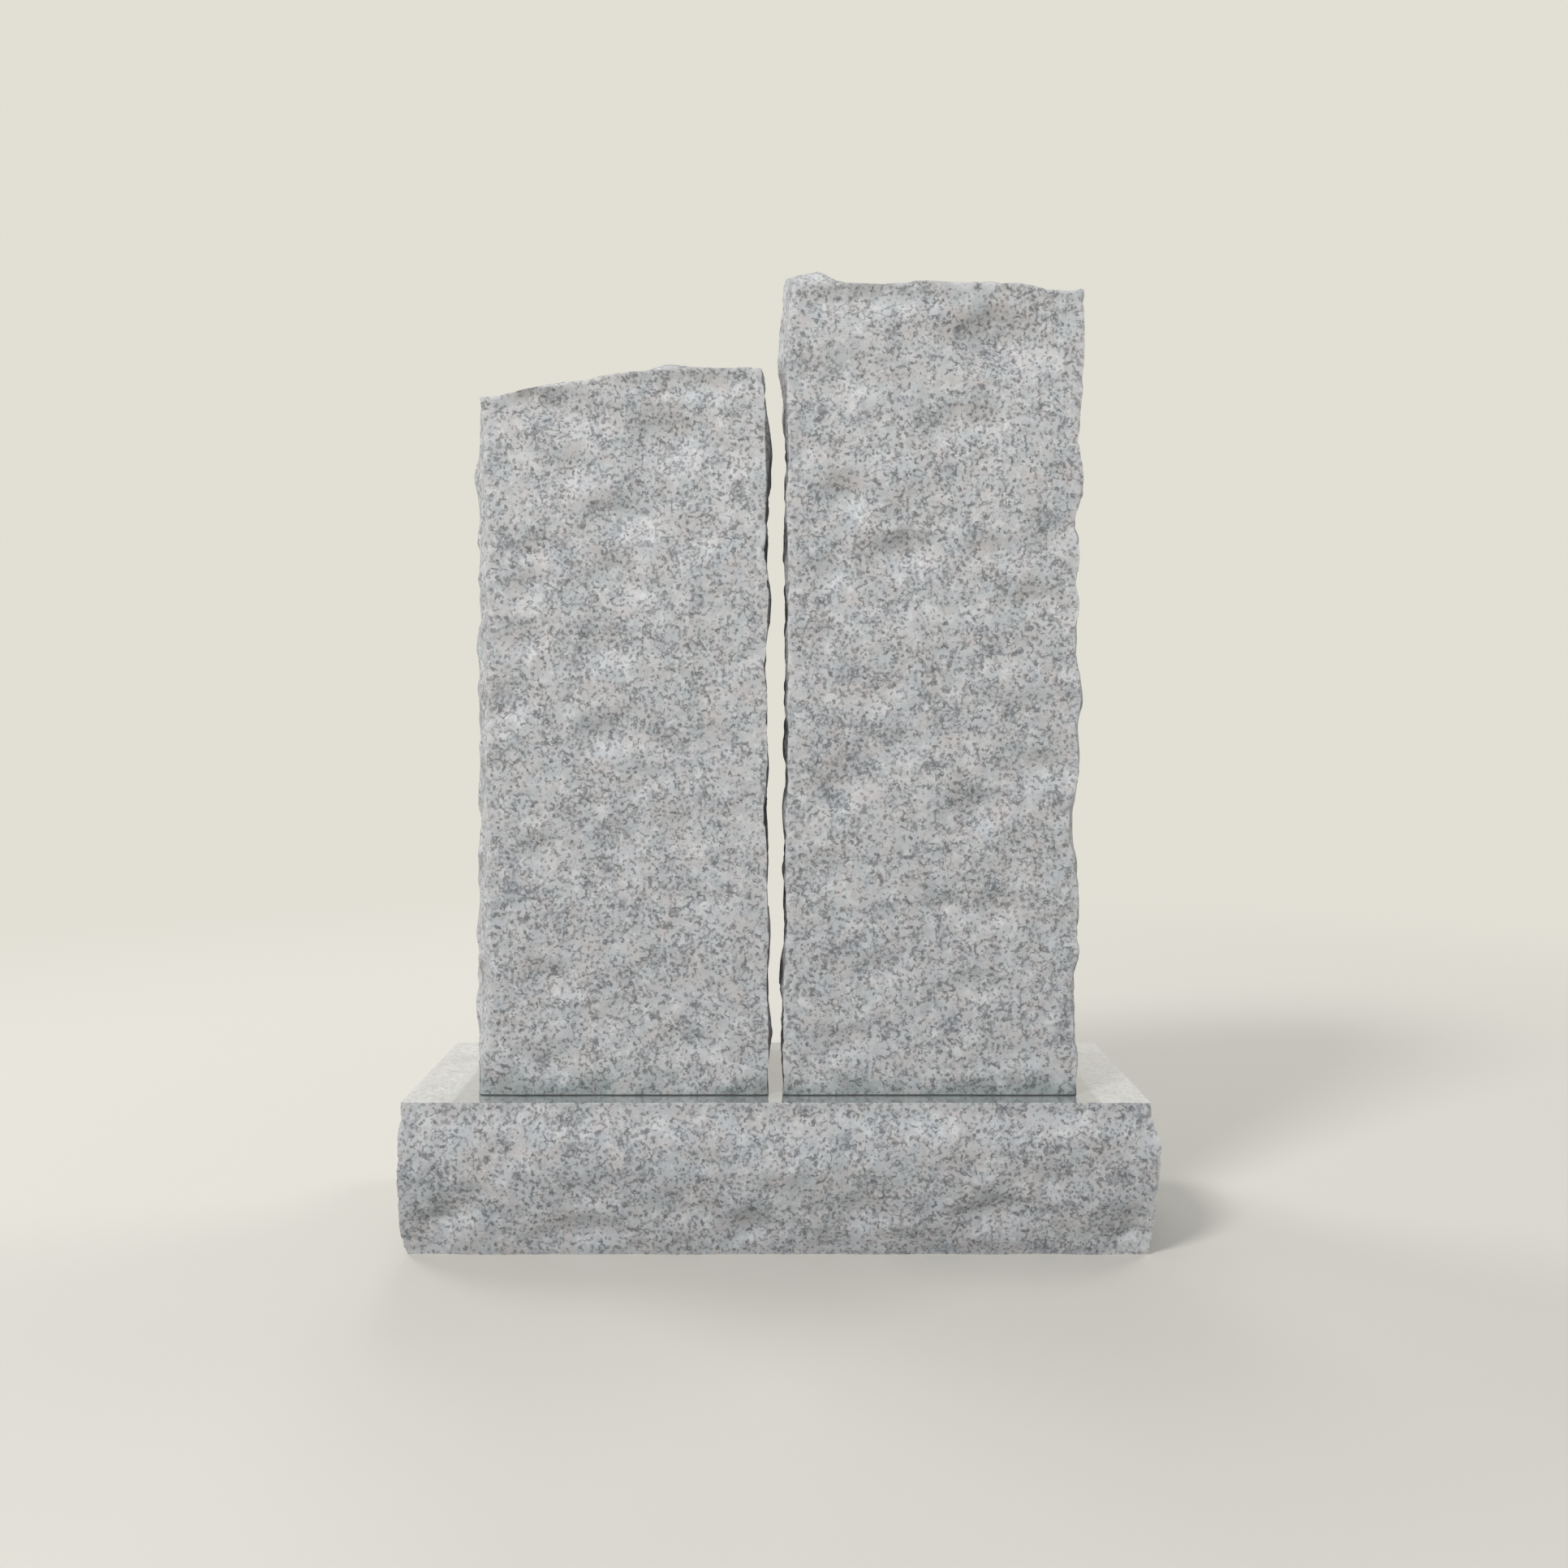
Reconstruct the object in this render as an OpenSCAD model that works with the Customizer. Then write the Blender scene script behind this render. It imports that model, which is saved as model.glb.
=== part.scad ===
// Companion headstone: two rock-faced granite stones of unequal height stand side by side on one base.
// The base has a polished top and pitched sides, and each stone is set on it in a thin bed of compound.
// Origin at the centre of the base's underside, X across the front, front towards -Y, Z up, millimetres.

/* [Base] */
// Width of the polished top
base_w = 900; // [820:10:1000]
// Depth of the polished top
base_d = 300; // [290:5:360]
// Height of the base
base_h = 185; // [130:5:240]
// How far the pitched sides swell out beyond the top's arris
base_swell = 12; // [4:1:18]

/* [Stones] */
// Width of the left stone
left_w = 345; // [300:5:380]
// Height of the left stone at its low outer corner
left_h = 851; // [600:1:1000]
// Width of the right stone
right_w = 360; // [300:5:380]
// Height of the right stone at its outer corner
right_h = 983; // [700:1:1100]
// Thickness of both stones between their front and back arrises
stone_t = 240; // [200:5:250]
// Space between the two stones, measured between their mean inner faces
stone_gap = 20; // [20:1:40]

/* [Setting bed] */
// Thickness of the compound under each stone
bed_t = 1.5; // [1:0.5:6]
// How far the compound is raked back from the stone's edge
bed_inset = 3; // [2:1:15]

/* [Rock face] */
// Depth of the chisel scoops, as a share of the depths listed for them
scoop_share = 1.3; // [0.5:0.1:1.6]
// Height of the small waves between the chisel scoops
ripple_h = 1.5; // [0.5:0.5:4]
// Distance between two waves
ripple_w = 46; // [40:1:70]
// Depth of the chips pitched off the sides and crowns
chip_h = 8; // [2:1:12]
// Width of such a chip
chip_w = 68; // [50:1:90]

/* [Hidden] */

granite = "#b4b6b9";
polished_granite = "#c9cccf";
compound = "#5c5d5e";

// Each side of a stone as [height, how far the arris stands out, how far the side swells behind it].
LEFT_OUTER = [[0, 6, 18], [20, 4, 24], [50, 3, 28], [85, -2, 24], [130, -4, 26], [150, -3, 29],
    [178, -1, 33], [205, -3, 28], [230, -3, 27], [260, -1, 29], [290, -2, 32], [320, -2, 26],
    [365, -1, 28], [415, 0, 31], [470, -4, 29], [505, -1, 34], [545, -1, 31], [590, -3, 28],
    [632, 0, 33], [665, -2, 28], [710, -1, 28], [735, 0, 33], [758, 3, 36], [780, 2, 30],
    [805, 3, 24], [835, 6, 20], [855, 7, 17]];
LEFT_INNER = [[0, 1, 2], [30, 1, 3], [45, 2, 6], [70, 2, 10], [88, 2, 8], [105, 1, 4], [128, 0, 1],
    [150, 0, 2], [165, 2, 5], [200, 3, 8], [225, 1, 4], [245, 0, 2], [300, 0, 1], [330, -2, 0],
    [355, -5, 0], [375, -2, 2], [400, 1, 5], [430, 1, 3], [470, 0, 1], [495, 0, 3], [510, -1, 1],
    [527, -5, 0], [545, -1, 2], [570, 0, 4], [590, 1, 6], [615, 2, 9], [635, 1, 7], [655, 0, 2],
    [672, -4, 0], [700, -1, 2], [718, -3, 1], [735, -1, 5], [765, -1, 10], [815, -2, 12],
    [838, -2, 7], [855, -2, 3], [875, -4, 2], [900, -7, 1]];
RIGHT_INNER = [[0, 2, 2], [25, 2, 7], [50, 2, 8], [80, 2, 9], [105, 2, 11], [128, 2, 13],
    [146, 1, 11], [160, 0, 8], [185, -1, 4], [205, -2, 2], [230, -1, 5], [255, -1, 7], [280, -1, 4],
    [300, -1, 3], [320, -1, 5], [342, -1, 7], [360, -2, 4], [384, -4, 1], [396, -4, 2], [420, -3, 5],
    [443, -4, 2], [467, -3, 6], [485, -3, 3], [503, -4, 2], [530, -4, 4], [565, -3, 4], [586, -5, 2],
    [610, -4, 4], [650, -3, 7], [682, -3, 4], [720, -2, 7], [745, -3, 4], [782, -5, 2], [812, -4, 4],
    [835, -3, 8], [860, -3, 11], [895, -3, 15], [920, -4, 15], [942, -5, 14], [960, -7, 11],
    [975, -9, 9], [990, -13, 7]];
RIGHT_OUTER = [[0, -4, 14], [25, -2, 17], [45, -1, 16], [65, -5, 14], [100, -6, 15], [120, -9, 15],
    [140, -9, 15], [155, -4, 15], [175, 2, 18], [200, -2, 16], [245, 1, 17], [270, -2, 15],
    [295, -3, 15], [310, -10, 14], [340, -11, 14], [370, -4, 16], [400, 1, 18], [455, -2, 16],
    [490, 4, 19], [520, 2, 18], [545, -3, 15], [580, -3, 16], [605, 3, 19], [635, -3, 15],
    [665, 3, 18], [685, 1, 16], [707, -6, 12], [730, 1, 16], [752, 8, 18], [770, 7, 19],
    [792, 3, 18], [825, 0, 16], [860, 5, 18], [915, 8, 19], [965, 8, 17], [1000, 7, 14]];

// Each crown from left to right as [distance, rise above the low corner, swell behind the arris].
LEFT_CROWN = [[0, 2, 6], [10, 4, 10], [28, 7, 16], [48, 13, 14], [65, 16, 18], [92, 16, 21],
    [118, 20, 23], [135, 27, 16], [160, 31, 12], [183, 34, 14], [200, 35, 23], [218, 36, 27],
    [235, 36, 20], [250, 38, 16], [270, 37, 20], [294, 37, 10], [318, 39, 8], [345, 37, 4]];
RIGHT_CROWN = [[0, 7, 16], [14, 10, 27], [26, 10, 37], [40, 10, 44], [54, 10, 46], [66, 10, 32],
    [78, 9, 18], [95, 9, 12], [127, 8, 12], [150, 12, 10], [170, 12, 12], [215, 10, 16],
    [255, 9, 24], [298, 9, 24], [316, 2, 18], [335, 0, 10], [345, 0, 8], [360, 3, 6]];

// Scoops of a face: [across from the middle, height, half width, half height, depth, tilt].
// A negative depth is a rise left standing between scoops.
LEFT_SCOOPS = [[48, 802, 66, 44, 13, 0], [-84, 838, 100, 26, 11, -15], [84, 866, 96, 20, 6, 0],
    [-62, 762, 48, 26, 8, -25], [122, 776, 30, 30, 6, 0], [-2, 708, 58, 30, 10, 0],
    [-106, 668, 32, 22, 6, 30], [-8, 634, 48, 28, 11, -42], [-120, 616, 36, 28, 8, 20],
    [-26, 548, 42, 30, 11, -20], [-128, 558, 34, 28, 8, 0], [96, 530, 26, 62, 5, 25],
    [-148, 480, 38, 26, 7, -25], [-26, 440, 44, 30, 10, 0], [28, 386, 32, 22, 8, 0],
    [-8, 312, 38, 34, 7, 0], [70, 322, 28, 38, 7, 25], [-110, 296, 38, 20, 6, 0],
    [-86, 140, 44, 26, 9, -25], [-100, 40, 48, 26, 7, -20], [78, 60, 42, 26, 5, 0],
    [88, 238, 40, 24, 5, 0], [110, 430, 34, 26, 5, 0], [-146, 430, 26, 22, -4, 0],
    [100, 640, 50, 50, -4, 20], [110, 180, 50, 34, -4, 0], [-60, 220, 50, 30, -4, 0]];
RIGHT_SCOOPS = [[-60, 972, 136, 20, 6, 0], [-74, 920, 80, 22, -9, -36], [-112, 878, 44, 34, 9, -30],
    [84, 922, 78, 44, 21, -8], [160, 880, 24, 60, 4, 0], [62, 822, 42, 28, 7, 0],
    [18, 818, 34, 32, 6, 20], [-158, 790, 22, 34, 5, 0], [-106, 732, 40, 34, 15, -35],
    [-34, 660, 60, 32, 15, 0], [-54, 744, 38, 42, -6, 20], [82, 664, 50, 26, 8, 0],
    [148, 684, 30, 30, 9, 0], [138, 598, 50, 30, 9, -10], [-126, 636, 32, 26, 7, 0],
    [-104, 380, 36, 46, 10, -35], [-38, 424, 32, 24, 7, 0], [132, 396, 56, 30, 9, -10],
    [48, 346, 48, 32, 9, 15], [12, 230, 32, 20, 8, 0], [82, 226, 34, 22, 8, 0],
    [-126, 272, 30, 30, 6, 0], [-60, 152, 36, 22, 7, 0], [52, 130, 46, 22, 7, -15],
    [150, 196, 26, 24, 6, 0], [-110, 60, 46, 26, 6, 15], [96, 46, 40, 22, 5, 0],
    [-28, 560, 54, 34, -5, 0], [100, 500, 50, 34, -5, 0], [-60, 500, 40, 26, 6, -20]];
BASE_SCOOPS = [[-214, 78, 46, 26, 8, 0], [-234, 34, 58, 24, 8, 0], [-390, 52, 76, 24, 10, 40],
    [-26, 34, 42, 24, 9, 0], [98, 56, 36, 38, 8, 0], [262, 56, 46, 30, 10, 0], [424, 30, 36, 32, 10, 55],
    [150, 36, 42, 16, -5, 0], [200, 138, 60, 26, -6, 0], [366, 148, 44, 22, -6, 0],
    [16, 108, 54, 26, -5, 0], [-120, 60, 52, 26, 6, 0], [-330, 122, 50, 26, 5, 35],
    [-100, 140, 64, 22, -5, 0], [330, 98, 42, 26, 6, 0], [-30, 150, 40, 20, 4, 0]];

// The base's sides as [height, how far they stand out on the left, right, front and back].
BASE_SIDES = [[0, -6, -2, -7, -7], [14, 0, 1, -2, -2], [40, 1, 3, 5, 5], [75, 2, 5, 11, 10],
    [105, 2, 8, 14, 12], [125, 1, 10, 13, 11], [145, 2, 9, 10, 8], [158, 1, 4, 6, 5],
    [175, 0, 0, 1, 1], [185, 0, 0, 0, 0]];
base_table_h = 185;

// Spacing of the points on the skins.
stone_row = 12.5;
stone_face_cells = 18;
stone_side_cells = 12;
base_row = 13;
base_face_cells = 34;
base_side_cells = 11;

// Random wave heights, one fixed table for each skin.
table_side = 16;
function wave_table(seed) = rands(-1, 1, table_side * table_side, seed);
LEFT_WAVES = wave_table(11);
RIGHT_WAVES = wave_table(23);
BASE_WAVES = wave_table(37);

function mix(a, b, t) = a + (b - a) * t;
function ease(t) = t * t * (3 - 2 * t);
function limit(t) = min(1, max(0, t));

// Value k of a table of keys at a place along it, eased from key to key.
function key_span(keys, at, i = 0) =
    (i >= len(keys) - 2 || at < keys[i + 1][0]) ? i : key_span(keys, at, i + 1);
function along(keys, at, k) =
    let (i = key_span(keys, at), a = keys[i], b = keys[i + 1])
    mix(a[k], b[k], ease(limit((at - a[0]) / (b[0] - a[0]))));

// Smooth waves of height 1 over a face, read at u and v in wave lengths.
function wave_knot(waves, i, j) = waves[(i % table_side) + table_side * (j % table_side)];
function wave(waves, u, v) =
    let (i = floor(u), j = floor(v), a = ease(u - i), b = ease(v - j))
    mix(mix(wave_knot(waves, i, j), wave_knot(waves, i + 1, j), a),
        mix(wave_knot(waves, i, j + 1), wave_knot(waves, i + 1, j + 1), a), b);

// Shell-shaped chips: 1 at the middle of each chip, 0 along the ridges that stand between them.
function chip_middle(waves, i, j) =
    [i + 0.5 + 0.35 * wave_knot(waves, i, j), j + 0.5 + 0.35 * wave_knot(waves, i + 5, j + 9)];
function chip(waves, u, v) =
    let (near = min([for (i = [-1:1], j = [-1:1])
            let (m = chip_middle(waves, floor(u) + i, floor(v) + j))
            pow(u - m[0], 2) + pow(v - m[1], 2)]))
    1 - limit(near / 0.6);

// Depth of all scoops of a face at a point of it.
function scoop(s, x, z) =
    let (c = cos(s[5]), n = sin(s[5]), a = ((x - s[0]) * c + (z - s[1]) * n) / s[2],
         b = ((z - s[1]) * c - (x - s[0]) * n) / s[3])
    scoop_share * s[4] * pow(max(0, 1 - a * a - b * b), 1.5);
function scoops(list, x, z, i = 0) =
    i >= len(list) ? 0 : scoop(list[i], x, z) + scoops(list, x, z, i + 1);

// How much a pitched side stands out across a stone's thickness: nothing at either arris.
function belly(v) = 1 - pow(abs(2 * v - 1), 2.4);

// Relief fades towards an arris, over this distance, to this share of itself.
arris_zone = 26;
arris_share = 0.35;
// The relief starts this much closer under a crown than beside an arris.
crown_crisp = 2;
// The two sides that face each other are this share as rough as those outside, and each stands this
// much further from the other at the back than at the front.
inner_share = 0.4;
back_gap = 3;
// Broad waves of the pitched sides, and how far the middle of a side swells beside its edges.
broad_h = 7;
broad_w = 110;
mid_share = 1.05;
function fade(distance) = mix(arris_share, 1, ease(limit(distance / arris_zone)));

// A stone: [left keys, right keys, crown keys, scoops, waves, left plane, right plane, height].
function left_edge(s) = s[5];
function right_edge(s) = s[6];
function middle(s) = (s[5] + s[6]) / 2;
function is_inner(s, side) = side * middle(s) < 0;
function last_key(keys) = keys[len(keys) - 1][0];
foot_z = base_h + bed_t;

// Height of the crown above the foot, at x across and v from front to back.
function crown_z(s, x, v) =
    let (at = limit((x - left_edge(s)) / (right_edge(s) - left_edge(s))) * last_key(s[2]),
         chips = chip_h * chip(s[4], (x + 1000) / chip_w, 3 + v * stone_t / chip_w))
    s[7] + along(s[2], at, 1) + (along(s[2], at, 2) + chip_h / 2 - chips) * belly(v);

// Arris of one side at t up the stone: the back arris carries the front's waves the other way up.
function arris_x(s, side, t, back) =
    let (keys = side < 0 ? s[0] : s[1], plane = side < 0 ? left_edge(s) : right_edge(s),
         at = (back ? 1 - t : t) * last_key(keys), set_back = back && is_inner(s, side) ? back_gap : 0)
    plane + side * (along(keys, at, 1) - set_back);

// Front or back face: how deep the rock is cut back from the arris plane, at height z under a crown
// of height top.
function cut(s, x, z, top, facing) =
    let (across = (x - middle(s)) * facing,
         inset = min(x - left_edge(s), right_edge(s) - x, z, (top - z) * crown_crisp),
         ripples = wave(s[4], (across + 1000) / ripple_w, (z + 300 * facing + 300) / ripple_w),
         chips = chip(s[4], (across + 900) / chip_w, (z + 200 * facing + 300) / chip_w))
    fade(inset) * (scoops(s[3], across, z) + ripple_h * (ripples + chips));

// One point of a stone's skin: t up its height, u across its width, v through its thickness.
function face_point(s, t, u, v) =
    let (back = v > 0.5, facing = back ? -1 : 1,
         x = mix(arris_x(s, -1, t, back), arris_x(s, 1, t, back), u),
         top = crown_z(s, x, back ? 1 : 0))
    [x, facing * (cut(s, x, t * top, top, facing) - stone_t / 2), foot_z + t * top];
// Waves of an arris die out within the side, and so does the swell that was keyed next to it. Between
// them the side swells by its middle value, broken up by broad waves and chips.
function near_arris(v) = pow(1 - v, 3);
function near_swell(v) = ease(limit(1 - abs(v - 0.2) / 0.3));
function side_swell(s, keys, t, v, side) =
    let (front = near_swell(v), back = near_swell(1 - v), last = last_key(keys),
         share = is_inner(s, side) ? inner_share : 1,
         broad = broad_h * wave(s[4], 3 + v * stone_t / broad_w, 4 + 4 * side + t * s[7] / broad_w))
    along(keys, t * last, 2) * front + share * along(keys, (1 - t) * last, 2) * back
        + (along(keys, last / 2, 2) * mid_share + broad) * share * (1 - front - back);
function side_dip(s, t, side, v) =
    let (chips = chip(s[4], 2 + v * stone_t / chip_w, 6 + 3 * side + t * s[7] / chip_w))
    chip_h * (is_inner(s, side) ? inner_share * chips : chips - 0.4);
function side_point(s, t, side, v) =
    let (end = side < 0 ? 0 : 1, keys = side < 0 ? s[0] : s[1],
         plane = side < 0 ? left_edge(s) : right_edge(s),
         front = face_point(s, t, end, 0), back = face_point(s, t, end, 1),
         waves = (front[0] - plane) * near_arris(v) + (back[0] - plane) * near_arris(1 - v),
         out = belly(v) * (side_swell(s, keys, t, v, side) - side_dip(s, t, side, v)))
    [plane + waves + side * out,
     mix(front[1], back[1], v),
     foot_z + t * crown_z(s, front[0], v)];

// The same point of a stone's ring for k = 0 to the ring's count, anticlockwise from the front left.
function ring_count(nf, ns) = 2 * (nf + ns);
function stone_ring_point(s, t, k, nf, ns) =
    k <= nf ? face_point(s, t, k / nf, 0)
    : k < nf + ns ? side_point(s, t, 1, (k - nf) / ns)
    : k <= 2 * nf + ns ? face_point(s, t, (2 * nf + ns - k) / nf, 1)
    : side_point(s, t, -1, (2 * nf + 2 * ns - k) / ns);

function crown_point(s, u, v) =
    let (l = side_point(s, 1, -1, v), r = side_point(s, 1, 1, v),
         f = face_point(s, 1, u, 0), b = face_point(s, 1, u, 1), x = mix(l[0], r[0], u))
    [x, mix(f[1], b[1], v), foot_z + crown_z(s, x, v)];

// Triangles between rings, and over the crown's grid.
function wall_faces(rows, n) = [for (r = [0:rows - 1], k = [0:n - 1])
    let (a = r * n + k, b = a + n, c = (r + 1) * n + (k + 1) % n, d = r * n + (k + 1) % n)
    each [[a, b, c], [a, c, d]]];
function crown_index(i, j, nf, ns, rows) =
    let (n = ring_count(nf, ns), top = rows * n)
    j == 0 ? top + i
    : i == nf ? top + nf + j
    : j == ns ? top + 2 * nf + ns - i
    : i == 0 ? top + n - j
    : (rows + 1) * n + (i - 1) + (j - 1) * (nf - 1);
function crown_faces(nf, ns, rows) = [for (i = [0:nf - 1], j = [0:ns - 1])
    let (a = crown_index(i, j, nf, ns, rows), b = crown_index(i, j + 1, nf, ns, rows),
         c = crown_index(i + 1, j + 1, nf, ns, rows), d = crown_index(i + 1, j, nf, ns, rows))
    each [[a, b, c], [a, c, d]]];

LEFT = [LEFT_OUTER, LEFT_INNER, LEFT_CROWN, LEFT_SCOOPS, LEFT_WAVES,
    -stone_gap / 2 - left_w, -stone_gap / 2, left_h];
RIGHT = [RIGHT_INNER, RIGHT_OUTER, RIGHT_CROWN, RIGHT_SCOOPS, RIGHT_WAVES,
    stone_gap / 2, stone_gap / 2 + right_w, right_h];

module stone(s) {
    nf = stone_face_cells;
    ns = stone_side_cells;
    n = ring_count(nf, ns);
    rows = round(s[7] / stone_row);
    rings = [for (r = [0:rows], k = [0:n - 1]) stone_ring_point(s, r / rows, k, nf, ns)];
    crown = [for (j = [1:ns - 1], i = [1:nf - 1]) crown_point(s, i / nf, j / ns)];
    foot_centre = [middle(s), 0, foot_z];
    last = len(rings) + len(crown);
    foot = [for (k = [0:n - 1]) [last, k, (k + 1) % n]];
    polyhedron(concat(rings, crown, [foot_centre]),
        concat(wall_faces(rows, n), crown_faces(nf, ns, rows), foot), convexity = 6);
}

// The bed is the stone's foot drawn in on every side.
module setting_bed(s) {
    n = ring_count(stone_face_cells, stone_side_cells);
    shrink_x = 1 - 2 * bed_inset / (right_edge(s) - left_edge(s));
    shrink_y = 1 - 2 * bed_inset / stone_t;
    outline = [for (k = [0:n - 1])
        let (p = stone_ring_point(s, 0, k, stone_face_cells, stone_side_cells))
        [mix(middle(s), p[0], shrink_x), p[1] * shrink_y]];
    translate([0, 0, base_h])
        linear_extrude(bed_t)
            polygon(outline);
}

// One point of the base's pitched skin, k anticlockwise from the front left corner.
function base_out(z, k) = base_swell / 12 * along(BASE_SIDES, z / base_h * base_table_h, k);
function base_fade(z) = ease(limit((base_h - z) / arris_zone));
function base_relief(x, z, facing) =
    let (across = x * facing,
         ripples = wave(BASE_WAVES, (across + 1000) / ripple_w, (z + 300 + 300 * facing) / ripple_w),
         chips = chip(BASE_WAVES, (across + 900) / chip_w, (z + 400 + 200 * facing) / chip_w))
    base_fade(z) * (scoops(BASE_SCOOPS, across, z) + ripple_h * (ripples + chips));
function base_end(z, v, side) =
    let (swell = base_swell * sin(180 * limit(z / base_h)),
         dip = chip_h * chip(BASE_WAVES, 3 + v * base_d / chip_w, 10 + 5 * side + z / chip_w))
    side * (base_w / 2 + base_out(z, side < 0 ? 1 : 2) + belly(v) * (swell - dip * base_fade(z)));
function base_face(z, u, facing) =
    let (x = mix(base_end(z, 0, -1), base_end(z, 0, 1), u),
         out = base_out(z, facing > 0 ? 3 : 4) - base_relief(x, z, facing))
    [x, -facing * (base_d / 2 + out), z];
function base_side(z, v, side) =
    let (f = base_face(z, side < 0 ? 0 : 1, 1), b = base_face(z, side < 0 ? 0 : 1, -1))
    [base_end(z, v, side), mix(f[1], b[1], v), z];
function base_ring_point(z, k, nf, ns) =
    k <= nf ? base_face(z, k / nf, 1)
    : k < nf + ns ? base_side(z, (k - nf) / ns, 1)
    : k <= 2 * nf + ns ? base_face(z, (2 * nf + ns - k) / nf, -1)
    : base_side(z, (2 * nf + 2 * ns - k) / ns, -1);

// The pitched block runs past its top and underside, and is sawn flat at both.
module base() {
    nf = base_face_cells;
    ns = base_side_cells;
    n = ring_count(nf, ns);
    rows = round(base_h / base_row);
    saw = 10;
    rings = [for (r = [0:rows + 2], k = [0:n - 1])
        let (z = limit((r - 1) / rows) * base_h, p = base_ring_point(z, k, nf, ns))
        [p[0], p[1], r == 0 ? -saw : r == rows + 2 ? base_h + saw : z]];
    low = len(rings);
    top = (rows + 2) * n;
    ends = [for (k = [0:n - 1]) each [[low, k, (k + 1) % n], [low + 1, top + (k + 1) % n, top + k]]];
    color(polished_granite)
        intersection() {
            polyhedron(concat(rings, [[0, 0, -saw], [0, 0, base_h + saw]]),
                concat(wall_faces(rows + 2, n), ends), convexity = 6);
            translate([-base_w, -base_d, 0])
                cube([2 * base_w, 2 * base_d, base_h]);
        }
}

module left_stone() {
    color(granite)
        stone(LEFT);
}

module right_stone() {
    color(granite)
        stone(RIGHT);
}

module left_setting_bed() {
    color(compound)
        setting_bed(LEFT);
}

module right_setting_bed() {
    color(compound)
        setting_bed(RIGHT);
}

base();
left_setting_bed();
right_setting_bed();
left_stone();
right_stone();
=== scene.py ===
import bmesh
import bpy
import math
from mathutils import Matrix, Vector


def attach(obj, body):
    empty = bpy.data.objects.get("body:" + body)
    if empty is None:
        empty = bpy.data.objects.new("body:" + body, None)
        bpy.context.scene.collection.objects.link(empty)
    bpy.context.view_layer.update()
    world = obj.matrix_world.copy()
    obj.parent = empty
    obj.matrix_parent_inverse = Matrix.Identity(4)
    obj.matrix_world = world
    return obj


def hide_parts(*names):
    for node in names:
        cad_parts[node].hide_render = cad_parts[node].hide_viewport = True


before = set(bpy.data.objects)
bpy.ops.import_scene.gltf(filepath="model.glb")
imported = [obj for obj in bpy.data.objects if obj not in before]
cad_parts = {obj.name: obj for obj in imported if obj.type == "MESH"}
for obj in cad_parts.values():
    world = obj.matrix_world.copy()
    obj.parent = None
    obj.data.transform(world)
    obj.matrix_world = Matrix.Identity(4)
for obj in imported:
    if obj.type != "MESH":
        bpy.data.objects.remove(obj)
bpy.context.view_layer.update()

mm = 0.001


# ---------------------------------------------------------------------------------------------
# The base: one block of light grey granite, sawn flat above and below and polished on top. Its
# sides are pitched, which is struck off with hammer and pitching tool, so they are broken rock
# with shallow shell-shaped scoops and a lightly nibbled arris.
# ---------------------------------------------------------------------------------------------

def add(tree, kind, **settings):
    """A new node in the tree, with its settings."""
    made = tree.nodes.new(kind)
    for name, value in settings.items():
        setattr(made, name, value)
    return made


def feed(tree, socket, source):
    """Puts a value or another node's output into a socket."""
    if isinstance(source, bpy.types.NodeSocket):
        tree.links.new(source, socket)
    else:
        socket.default_value = source


def calc(tree, operation, *sources, clamp=False):
    made = add(tree, "ShaderNodeMath", operation=operation, use_clamp=clamp)
    for socket, source in zip(made.inputs, sources):
        feed(tree, socket, source)
    return made.outputs[0]


def vector_calc(tree, operation, *sources):
    made = add(tree, "ShaderNodeVectorMath", operation=operation)
    for socket, source in zip(made.inputs, sources):
        feed(tree, socket, source)
    return made.outputs["Value" if operation == "LENGTH" else "Vector"]


def scaled(tree, vector, factor):
    made = add(tree, "ShaderNodeVectorMath", operation="SCALE")
    feed(tree, made.inputs[0], vector)
    feed(tree, made.inputs["Scale"], factor)
    return made.outputs["Vector"]


def split(tree, vector):
    """The X, Y and Z outputs of a vector."""
    made = add(tree, "ShaderNodeSeparateXYZ")
    feed(tree, made.inputs[0], vector)
    return made.outputs


def ramp(tree, source, low, high, to_low=0.0, to_high=1.0):
    """Smooth step from low to high."""
    made = add(tree, "ShaderNodeMapRange", interpolation_type="SMOOTHSTEP")
    feed(tree, made.inputs["Value"], source)
    limits = {"From Min": low, "From Max": high, "To Min": to_low, "To Max": to_high}
    for name, value in limits.items():
        feed(tree, made.inputs[name], value)
    return made.outputs["Result"]


def fineness(tree, size):
    """The texture scale at which a pattern's features measure about size metres."""
    return calc(tree, "DIVIDE", 1.0, size) if isinstance(size, bpy.types.NodeSocket) else 1.0 / size


def noise(tree, place, size, detail=2.0, roughness=0.5):
    """Soft noise from 0 to 1 whose lumps measure about size metres."""
    made = add(tree, "ShaderNodeTexNoise", noise_dimensions="3D")
    feed(tree, made.inputs["Vector"], place)
    feed(tree, made.inputs["Scale"], fineness(tree, size))
    feed(tree, made.inputs["Detail"], detail)
    feed(tree, made.inputs["Roughness"], roughness)
    return made.outputs[0]


def cells(tree, place, size):
    """Cells about size metres wide: the distance to the nearest middle, and a random colour for each."""
    made = add(tree, "ShaderNodeTexVoronoi", voronoi_dimensions="3D", feature="F1")
    feed(tree, made.inputs["Vector"], place)
    feed(tree, made.inputs["Scale"], fineness(tree, size))
    return made.outputs["Distance"], made.outputs["Color"]


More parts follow.
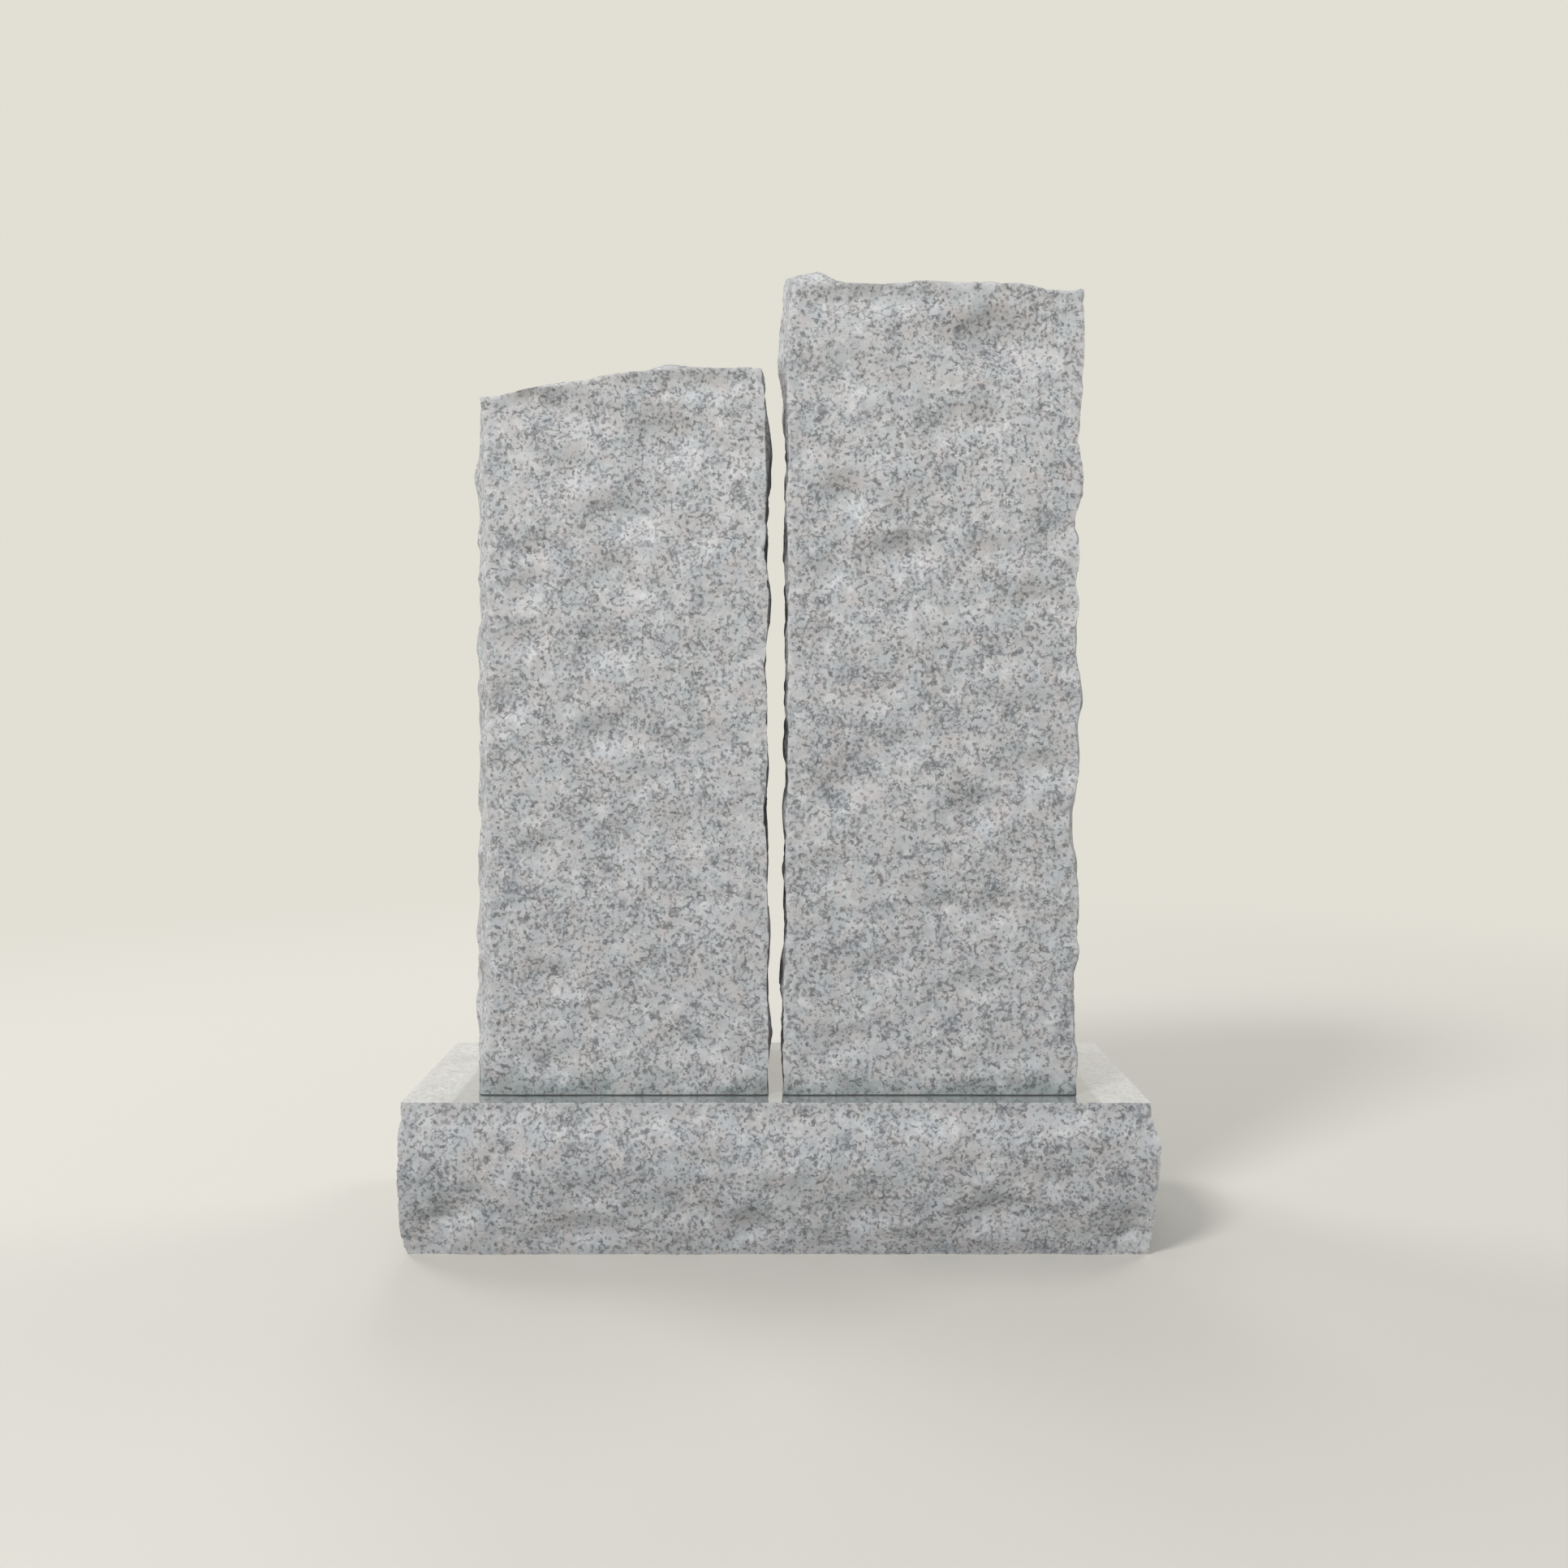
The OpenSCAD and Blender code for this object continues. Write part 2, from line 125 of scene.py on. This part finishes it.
def warped(tree, place, size, amount):
    """The same places, pushed about by noise, so that nothing made from them is straight."""
    push = add(tree, "ShaderNodeTexNoise", noise_dimensions="3D")
    feed(tree, push.inputs["Vector"], place)
    feed(tree, push.inputs["Scale"], fineness(tree, size))
    feed(tree, push.inputs["Detail"], 1.0)
    centred = vector_calc(tree, "SUBTRACT", push.outputs["Color"], (0.5, 0.5, 0.5))
    return vector_calc(tree, "ADD", place, scaled(tree, centred, amount))


def mixed(tree, share, first, second, blend="MIX"):
    made = add(tree, "ShaderNodeMix", data_type="RGBA", blend_type=blend)
    feed(tree, made.inputs["Factor"], share)
    feed(tree, made.inputs[6], first)
    feed(tree, made.inputs[7], second)
    return made.outputs[2]


def grey(r, g, b):
    """A colour given as it is seen, 0 to 255, in the shader's linear values."""
    def linear(c):
        c = c / 255
        return c / 12.92 if c <= 0.04045 else ((c + 0.055) / 1.055) ** 2.4
    return (linear(r), linear(g), linear(b), 1.0)


def new_material(name):
    """A material, its tree, and its shader already joined to the output."""
    made = bpy.data.materials.new(name)
    made.use_nodes = True
    tree = made.node_tree
    tree.nodes.clear()
    shader = add(tree, "ShaderNodeBsdfPrincipled")
    output = add(tree, "ShaderNodeOutputMaterial")
    tree.links.new(shader.outputs[0], output.inputs[0])
    return made, tree, shader


def give_relief(tree, shader, height, strength, distance):
    """Fine relief that is too small for the mesh."""
    made = add(tree, "ShaderNodeBump")
    feed(tree, made.inputs["Strength"], strength)
    feed(tree, made.inputs["Distance"], distance)
    feed(tree, made.inputs["Height"], height)
    feed(tree, shader.inputs["Normal"], made.outputs[0])


# The granite's minerals.
cool_feldspar = grey(193, 197, 200)
warm_feldspar = grey(201, 197, 196)
milky_feldspar = grey(214, 215, 215)
glassy_quartz = grey(176, 178, 181)
fine_mica = grey(163, 168, 175)
mica_flake = grey(98, 99, 102)

swarm_size = 38 * mm
flake_winding = 8.5 * mm
flake_length = 5.5 * mm
speck_size = 5 * mm
cloud_size = 30 * mm
milky_size = 16 * mm
quartz_size = 6.5 * mm
flake_tone_size = 7 * mm


def granite(tree):
    """Light grey granite: faint warm and cool clouds of feldspar, glassy quartz, and worm-like mica
    flakes that gather in loose swarms. Returns its place, its colour, and where the flakes are."""
    place = add(tree, "ShaderNodeTexCoord").outputs["Object"]
    bent = warped(tree, place, 9 * mm, 5 * mm)
    swarm = noise(tree, warped(tree, place, 36 * mm, 30 * mm), swarm_size, 4.0, 0.68)

    # A winding line runs where noise crosses its middle value, and a second noise cuts it into worms.
    winding = noise(tree, bent, flake_winding, 2.0, 0.6)
    line = ramp(tree, calc(tree, "ABSOLUTE", calc(tree, "SUBTRACT", winding, 0.5)), 0.025, 0.12, 1.0, 0.0)
    gathered = calc(tree, "MULTIPLY", calc(tree, "SUBTRACT", swarm, 0.5), 0.55)
    kept = ramp(tree, calc(tree, "ADD", noise(tree, place, flake_length, 1.0), gathered), 0.45, 0.6)
    worms = calc(tree, "MULTIPLY", line, kept)

    speck, speck_tint = cells(tree, bent, speck_size)
    chosen = ramp(tree, calc(tree, "ADD", speck_tint, calc(tree, "MULTIPLY", swarm, 0.8)), 0.9, 1.0)
    specks = calc(tree, "MULTIPLY", ramp(tree, speck, 0.2, 0.6, 1.0, 0.0), chosen)
    flakes = calc(tree, "MAXIMUM", worms, calc(tree, "MULTIPLY", specks, 0.8))

    cloud = noise(tree, warped(tree, place, 30 * mm, 20 * mm), cloud_size, 3.0, 0.6)
    ground = mixed(tree, ramp(tree, cloud, 0.34, 0.66), cool_feldspar, warm_feldspar)
    milky = noise(tree, warped(tree, place, 12 * mm, 9 * mm), milky_size, 2.0, 0.55)
    ground = mixed(tree, ramp(tree, milky, 0.5, 0.66, 0.0, 0.75), ground, milky_feldspar)
    quartz_tint = cells(tree, bent, quartz_size)[1]
    quartz = calc(tree, "MULTIPLY", ramp(tree, quartz_tint, 0.55, 0.75), 0.35)
    ground = mixed(tree, quartz, ground, glassy_quartz)
    ground = mixed(tree, ramp(tree, swarm, 0.5, 0.72, 0.0, 0.6), ground, fine_mica)

    strength = ramp(tree, noise(tree, place, flake_tone_size, 1.0), 0.35, 0.65, 0.55, 0.86)
    colour = mixed(tree, calc(tree, "MULTIPLY", flakes, strength), ground, mica_flake)
    return place, colour, flakes


# Painted shade: the stones are darkened and tinted green over their lowest finger's width, just above the
# base's top.
top_height = max(v.co.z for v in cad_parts["base"].data.vertices)
foot_shade_tint = (0.52, 0.57, 0.565, 1.0)
foot_shade_full = top_height - 12 * mm
foot_shade_gone = top_height + 24 * mm
foot_shade_ragged = 18 * mm
bruised_stone = grey(214, 214, 213)


def rock_faced_granite():
    """Broken rock: crystals stand proud of each other, mica glints, and struck arrises are bruised
    pale. The lowest finger's width of the stones is darkened and tinted green: painted shade at their
    feet."""
    made, tree, shader = new_material("rock_faced_granite")
    place, colour, flakes = granite(tree)

    arris = add(tree, "ShaderNodeAttribute", attribute_name="arris").outputs["Fac"]
    patchy = ramp(tree, noise(tree, place, 9 * mm, 2.0), 0.4, 0.6, 0.1, 0.4)
    bruise = calc(tree, "MULTIPLY", ramp(tree, arris, 0.55, 1.0), patchy)
    colour = mixed(tree, bruise, colour, bruised_stone)

    # Painted shade: above the base's top, the stones' lowest finger's width is darkened and tinted green,
    # with a ragged upper edge.
    height = split(tree, place)["Z"]
    ragged = calc(tree, "MULTIPLY", ramp(tree, noise(tree, place, 45 * mm), 0.35, 0.65), -foot_shade_ragged)
    reach = calc(tree, "ADD", height, ragged)
    above_base = calc(tree, "GREATER_THAN", height, top_height + 0.5 * mm)
    shade_at_feet = calc(tree, "MULTIPLY", ramp(tree, reach, foot_shade_full, foot_shade_gone, 1.0, 0.0), above_base)
    colour = mixed(tree, shade_at_feet, colour, foot_shade_tint, "MULTIPLY")
    feed(tree, shader.inputs["Base Color"], colour)

    rough = calc(tree, "SUBTRACT", ramp(tree, noise(tree, place, 12 * mm), 0.3, 0.7, 0.52, 0.68),
                 calc(tree, "MULTIPLY", flakes, 0.12))
    feed(tree, shader.inputs["Roughness"], rough)
    crystals = calc(tree, "ADD", calc(tree, "MULTIPLY", noise(tree, place, 4 * mm, 3.0, 0.6), 0.5),
                    calc(tree, "MULTIPLY", noise(tree, place, 15 * mm, 2.0), 2.0))
    give_relief(tree, shader, crystals, 0.6, 1.1 * mm)
    return made


bed_ends = [v.co.x for bed in ("left_setting_bed", "right_setting_bed")
            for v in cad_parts[bed].data.vertices]
# Painted reflection and shade: the polished top is darkened and greened wherever it lies within the
# stones' width, front to back.
strip_shade_tint = (0.55, 0.58, 0.575, 1.0)
strip_shade_full = max(bed_ends) + 2 * mm
strip_shade_gone = max(bed_ends) + 9 * mm
polish_index = 2.4


def polished_granite():
    """The same granite ground and polished: mirror-like, with softer mica pits. Paled all over as a
    painted reflection of the pale surround, and darker within the stones' width as painted reflection and
    shade of their feet."""
    made, tree, shader = new_material("polished_granite")
    place, colour, flakes = granite(tree)
    # Painted reflection: the polished granite is paled a quarter of the way to near-white, for the pale
    # surround it mirrors.
    colour = mixed(tree, 0.25, colour, grey(232, 232, 228))
    # Painted reflection and shade: darker and greener within the stones' width, for the stones' dark feet
    # mirrored in the polish.
    sideways = split(tree, vector_calc(tree, "ABSOLUTE", place))["X"]
    darkened_strip = ramp(tree, sideways, strip_shade_full, strip_shade_gone, 1.0, 0.0)
    feed(tree, shader.inputs["Base Color"], mixed(tree, darkened_strip, colour, strip_shade_tint, "MULTIPLY"))
    feed(tree, shader.inputs["Roughness"], calc(tree, "ADD", 0.05, calc(tree, "MULTIPLY", flakes, 0.06)))
    shader.inputs["IOR"].default_value = polish_index
    shader.inputs["Coat Weight"].default_value = 1.0
    shader.inputs["Coat Roughness"].default_value = 0.04
    shader.inputs["Coat IOR"].default_value = polish_index
    return made


def pitched_tree():
    """Geometry Nodes that dress a plain skin as pitched rock: finer points, chip scoops, ripples and
    a nibbled arris. Faces that were sawn flat stay flat and take the sawn material."""
    tree = bpy.data.node_groups.new("pitched_rock", "GeometryNodeTree")
    tree.is_modifier = True
    measures = ("Arris angle", "Arris hardness", "Chip size", "Chip depth", "End share", "Ripple size",
                "Ripple depth", "Nibble size", "Nibble depth", "Seed")
    wanted = [("Geometry", "NodeSocketGeometry"), ("Level", "NodeSocketInt")]
    wanted += [(name, "NodeSocketFloat") for name in measures]
    wanted += [("Rock", "NodeSocketMaterial"), ("Sawn", "NodeSocketMaterial")]
    for name, kind in wanted:
        tree.interface.new_socket(name, in_out="INPUT", socket_type=kind)
    tree.interface.new_socket("Geometry", in_out="OUTPUT", socket_type="NodeSocketGeometry")
    given = add(tree, "NodeGroupInput").outputs

    def on_domain(source, domain):
        made = add(tree, "GeometryNodeFieldOnDomain", domain=domain, data_type="FLOAT")
        feed(tree, made.inputs[0], source)
        return made.outputs[0]

    def stored(geometry, name, value):
        made = add(tree, "GeometryNodeStoreNamedAttribute", domain="POINT", data_type="FLOAT")
        feed(tree, made.inputs["Geometry"], geometry)
        feed(tree, made.inputs["Name"], name)
        feed(tree, made.inputs["Value"], value)
        return made.outputs[0]

    def named(name):
        made = add(tree, "GeometryNodeInputNamedAttribute", data_type="FLOAT")
        feed(tree, made.inputs["Name"], name)
        return made.outputs[0]

    def over(source, limit):
        return calc(tree, "GREATER_THAN", source, limit)

    def times(first, *others):
        for other in others:
            first = calc(tree, "MULTIPLY", first, other)
        return first

    normal = add(tree, "GeometryNodeInputNormal").outputs[0]
    edge_angle = add(tree, "GeometryNodeInputMeshEdgeAngle").outputs["Unsigned Angle"]

    # The arrises and the sawn faces are marked before the skin is made finer.
    hard = on_domain(over(edge_angle, given["Arris angle"]), "EDGE")
    level = on_domain(over(calc(tree, "ABSOLUTE", split(tree, normal)["Z"]), 0.9999), "FACE")
    skin = stored(given["Geometry"], "arris", over(hard, 0.05))
    skin = stored(skin, "sawn", over(level, 0.05))
    finer = add(tree, "GeometryNodeSubdivisionSurface")
    feed(tree, finer.inputs["Mesh"], skin)
    feed(tree, finer.inputs["Level"], given["Level"])
    keen = on_domain(over(named("sawn"), 0.5), "EDGE")
    feed(tree, finer.inputs["Edge Crease"],
         times(hard, calc(tree, "MAXIMUM", keen, given["Arris hardness"])))

    # Chips are shell-shaped scoops, rougher on sides and crowns than on the split faces.
    place = add(tree, "GeometryNodeInputPosition").outputs[0]
    shift = scaled(tree, (3.7, 1.9, 2.3), given["Seed"])
    spot = warped(tree, vector_calc(tree, "ADD", place, shift), 40 * mm, 22 * mm)
    distance = cells(tree, spot, given["Chip size"])[0]
    scoop = ramp(tree, calc(tree, "POWER", distance, 2.0), 0.0, 0.6, 1.0, 0.0)
    turned = split(tree, vector_calc(tree, "ABSOLUTE", normal))
    ends = ramp(tree, calc(tree, "MAXIMUM", turned["X"], turned["Z"]), 0.55, 0.9)
    rougher = calc(tree, "ADD", 1.0, times(ends, given["End share"]))
    inside = calc(tree, "SUBTRACT", 1.0, times(named("arris"), 0.7))
    chips = times(scoop, given["Chip depth"], inside, rougher)

    ripple = calc(tree, "SUBTRACT", noise(tree, spot, given["Ripple size"], 2.0, 0.5), 0.5)
    nibble = ramp(tree, noise(tree, spot, given["Nibble size"], 2.0, 0.6), 0.48, 0.66)
    depth = calc(tree, "ADD", chips, times(ripple, given["Ripple depth"]))
    depth = calc(tree, "ADD", depth, times(nibble, given["Nibble depth"], named("arris")))
    depth = times(depth, calc(tree, "SUBTRACT", 1.0, named("sawn"), clamp=True))
    moved = add(tree, "GeometryNodeSetPosition")
    feed(tree, moved.inputs["Geometry"], finer.outputs["Mesh"])
    feed(tree, moved.inputs["Offset"], scaled(tree, normal, times(depth, -1.0)))

    # Smooth over the scoops, sharp at the arrises.
    smooth = add(tree, "GeometryNodeSetShadeSmooth", domain="FACE")
    feed(tree, smooth.inputs["Geometry"], moved.outputs["Geometry"])
    creased = add(tree, "GeometryNodeSetShadeSmooth", domain="EDGE")
    feed(tree, creased.inputs["Geometry"], smooth.outputs["Geometry"])
    feed(tree, creased.inputs["Selection"], over(edge_angle, math.radians(50)))
    feed(tree, creased.inputs["Shade Smooth"], False)

    whole = add(tree, "GeometryNodeRealizeInstances")
    feed(tree, whole.inputs["Geometry"], creased.outputs["Geometry"])
    rock = add(tree, "GeometryNodeSetMaterial")
    feed(tree, rock.inputs["Geometry"], whole.outputs["Geometry"])
    feed(tree, rock.inputs["Material"], given["Rock"])
    sawn = add(tree, "GeometryNodeSetMaterial")
    feed(tree, sawn.inputs["Geometry"], rock.outputs["Geometry"])
    feed(tree, sawn.inputs["Selection"], over(on_domain(named("sawn"), "FACE"), 0.99))
    feed(tree, sawn.inputs["Material"], given["Sawn"])
    result = add(tree, "NodeGroupOutput")
    feed(tree, result.inputs["Geometry"], sawn.outputs["Geometry"])
    return tree


merge_reach = 0.02 * mm
pair_angle = math.radians(60)
sawn_faces_at_least = 20


def plain_skin(cad_name, name):
    """A merged copy of a CAD node's skin, with its triangles paired into quads and each sawn face in
    one piece."""
    copy = bmesh.new()
    copy.from_mesh(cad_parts[cad_name].data)
    bmesh.ops.remove_doubles(copy, verts=copy.verts, dist=merge_reach)
    copy.normal_update()

    def level_faces():
        return [(f, f.calc_center_median().z / mm) for f in copy.faces if abs(f.normal.z) > 0.99999]

    for height in sorted({round(z, 1) for _, z in level_faces()}):
        sawn = [f for f, z in level_faces() if abs(z - height) < 0.06]
        if len(sawn) > sawn_faces_at_least:
            bmesh.ops.dissolve_faces(copy, faces=sawn)
    bmesh.ops.join_triangles(copy, faces=[f for f in copy.faces if len(f.verts) == 3],
                             angle_face_threshold=pair_angle, angle_shape_threshold=pair_angle)
    mesh = bpy.data.meshes.new(name)
    copy.to_mesh(mesh)
    copy.free()
    piece = bpy.data.objects.new(name, mesh)
    bpy.context.scene.collection.objects.link(piece)
    return piece


def dressed(piece, tree, settings):
    """Runs the rock tree on a piece and keeps the result as a plain mesh."""
    modifier = piece.modifiers.new("rock", "NODES")
    modifier.node_group = tree
    for socket in tree.interface.items_tree:
        if socket.in_out == "INPUT" and socket.name in settings:
            modifier[socket.identifier] = settings[socket.name]
    evaluated = piece.evaluated_get(bpy.context.evaluated_depsgraph_get())
    mesh = bpy.data.meshes.new_from_object(evaluated)
    piece.modifiers.remove(modifier)
    piece.data = mesh
    mesh.name = piece.name
    return piece


rock_material = rock_faced_granite()
polish_material = polished_granite()
pitched_rock = pitched_tree()

base_dressing = {
    "Level": 2, "Arris angle": math.radians(38), "Arris hardness": 1.0,
    "Chip size": 34 * mm, "Chip depth": 1.8 * mm, "End share": 0.8,
    "Ripple size": 14 * mm, "Ripple depth": 1.3 * mm,
    "Nibble size": 12 * mm, "Nibble depth": 2.0 * mm, "Seed": 1.0,
    "Rock": rock_material, "Sawn": polish_material,
}
base = dressed(plain_skin("base", "granite_base"), pitched_rock, base_dressing)
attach(base, "root")
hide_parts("base")


# ---------------------------------------------------------------------------------------------
# The setting beds: a thin grey jointing compound, trowelled out and raked back so that only a
# dark line shows under each stone.
# ---------------------------------------------------------------------------------------------

def setting_compound():
    """Sanded jointing compound, matt and gritty."""
    made, tree, shader = new_material("setting_compound")
    place = add(tree, "ShaderNodeTexCoord").outputs["Object"]
    sand = noise(tree, place, 1.2 * mm, 3.0, 0.7)
    sandy = mixed(tree, ramp(tree, sand, 0.35, 0.65), grey(100, 103, 101), grey(132, 134, 131))
    feed(tree, shader.inputs["Base Color"], sandy)
    shader.inputs["Roughness"].default_value = 0.9
    give_relief(tree, shader, sand, 0.7, 0.4 * mm)
    return made


bed_material = setting_compound()
for bed_name in ("left_setting_bed", "right_setting_bed"):
    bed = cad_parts[bed_name]
    bed.data.materials.clear()
    bed.data.materials.append(bed_material)


# ---------------------------------------------------------------------------------------------
# The two stones: rock-faced slabs of the same granite, one for each name. Front and back are
# split and scooped by hand, the sides and crowns are pitched and swell behind their arrises.
# ---------------------------------------------------------------------------------------------

for stone_name, stone_seed in (("left_stone", 2.0), ("right_stone", 3.0)):
    stone_dressing = {
        "Level": 2, "Arris angle": math.radians(34), "Arris hardness": 0.8,
        "Chip size": 36 * mm, "Chip depth": 1.5 * mm, "End share": 2.4,
        "Ripple size": 16 * mm, "Ripple depth": 1.2 * mm,
        "Nibble size": 14 * mm, "Nibble depth": 2.0 * mm, "Seed": stone_seed,
        "Rock": rock_material, "Sawn": rock_material,
    }
    stone = dressed(plain_skin(stone_name, "granite_" + stone_name), pitched_rock, stone_dressing)
    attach(stone, "root")
    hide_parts(stone_name)


# ---------------------------------------------------------------------------------------------
# The stage: a pale floor that runs out into a pale surround, soft light from above and the left,
# and the camera in front of the memorial at about half its height.
# ---------------------------------------------------------------------------------------------

surround = grey(226, 223, 213)
floor_seen = grey(216, 213, 204)
floor_unseen = grey(146, 144, 140)
fade_from, fade_to = 1.2, 3.6
sky_tint = (0.93, 0.96, 1.0, 1.0)
sky_strength = 0.37


def looked_at(tree):
    """1 where the eye sees the surface, straight or through polish, and 0 where only light does."""
    path = add(tree, "ShaderNodeLightPath").outputs
    direct = calc(tree, "MAXIMUM", path["Is Camera Ray"], path["Is Glossy Ray"])
    return calc(tree, "MAXIMUM", direct, path["Is Transmission Ray"])


def blended(tree, share, first, second, output):
    """Joins two shaders, and puts the result into an output node."""
    made = add(tree, "ShaderNodeMixShader")
    for socket, source in zip(made.inputs, (share, first, second)):
        feed(tree, socket, source)
    feed(tree, output.inputs[0], made.outputs[0])


floor_mesh = bpy.data.meshes.new("floor")
floor_shape = bmesh.new()
bmesh.ops.create_circle(floor_shape, cap_ends=True, radius=40, segments=96)
floor_shape.to_mesh(floor_mesh)
floor_shape.free()
floor = bpy.data.objects.new("floor", floor_mesh)
bpy.context.scene.collection.objects.link(floor)
floor_material, floor_tree, floor_shader = new_material("pale_floor")
floor_colour = mixed(floor_tree, looked_at(floor_tree), floor_unseen, floor_seen)
feed(floor_tree, floor_shader.inputs["Base Color"], floor_colour)
floor_shader.inputs["Roughness"].default_value = 0.6
floor_place = add(floor_tree, "ShaderNodeTexCoord").outputs["Object"]
floor_fade = ramp(floor_tree, vector_calc(floor_tree, "LENGTH", floor_place), fade_from, fade_to)
floor_glow = add(floor_tree, "ShaderNodeEmission")
floor_glow.inputs["Color"].default_value = surround
blended(floor_tree, floor_fade, floor_shader.outputs[0], floor_glow.outputs[0],
        floor_tree.nodes["Material Output"])
floor_mesh.materials.append(floor_material)

world = bpy.data.worlds.new("surround")
bpy.context.scene.world = world
world.use_nodes = True
sky = world.node_tree
sky.nodes.clear()
sky_light = add(sky, "ShaderNodeBackground")
sky_light.inputs["Color"].default_value = sky_tint
sky_light.inputs["Strength"].default_value = sky_strength
sky_seen = add(sky, "ShaderNodeBackground")
sky_seen.inputs["Color"].default_value = surround
blended(sky, looked_at(sky), sky_light.outputs[0], sky_seen.outputs[0],
        add(sky, "ShaderNodeOutputWorld"))

# Each lamp's name, place, width and power. Only the key shows in the polish.
lamps = (
    ("key", (-3.9, -4.6, 6.2), 2.0, 350.0),
    ("fill", (-0.9, -6.2, 1.6), 3.6, 72.0),
    ("rear", (-0.6, 5.6, 3.6), 3.0, 90.0),
    ("rear_left", (-4.2, 2.4, 4.6), 2.4, 100.0),
    ("rear_right", (4.0, 2.0, 5.2), 2.4, 70.0),
)
middle = Vector((0, 0, 0.6))
for lamp_name, lamp_place, lamp_size, lamp_power in lamps:
    lamp = bpy.data.lights.new(lamp_name, "AREA")
    lamp.shape = "DISK"
    lamp.size = lamp_size
    lamp.energy = lamp_power
    lamp_object = bpy.data.objects.new(lamp_name, lamp)
    lamp_object.location = lamp_place
    lamp_object.rotation_euler = (middle - Vector(lamp_place)).to_track_quat("-Z", "Y").to_euler()
    lamp_object.visible_glossy = lamp_name == "key"
    bpy.context.scene.collection.objects.link(lamp_object)

camera_from_front = 1.667
camera_height = 0.659
half_base_depth = 0.150
camera = bpy.data.cameras.new("camera")
camera.lens = 31.9
camera.sensor_width = 36
camera.shift_x = 0.0052
camera.shift_y = -0.0487
camera_object = bpy.data.objects.new("camera", camera)
camera_object.location = (0, -half_base_depth - camera_from_front, camera_height)
camera_object.rotation_euler = (math.radians(90), 0, 0)
bpy.context.scene.collection.objects.link(camera_object)
bpy.context.scene.camera = camera_object
bpy.context.scene.view_settings.view_transform = "Standard"
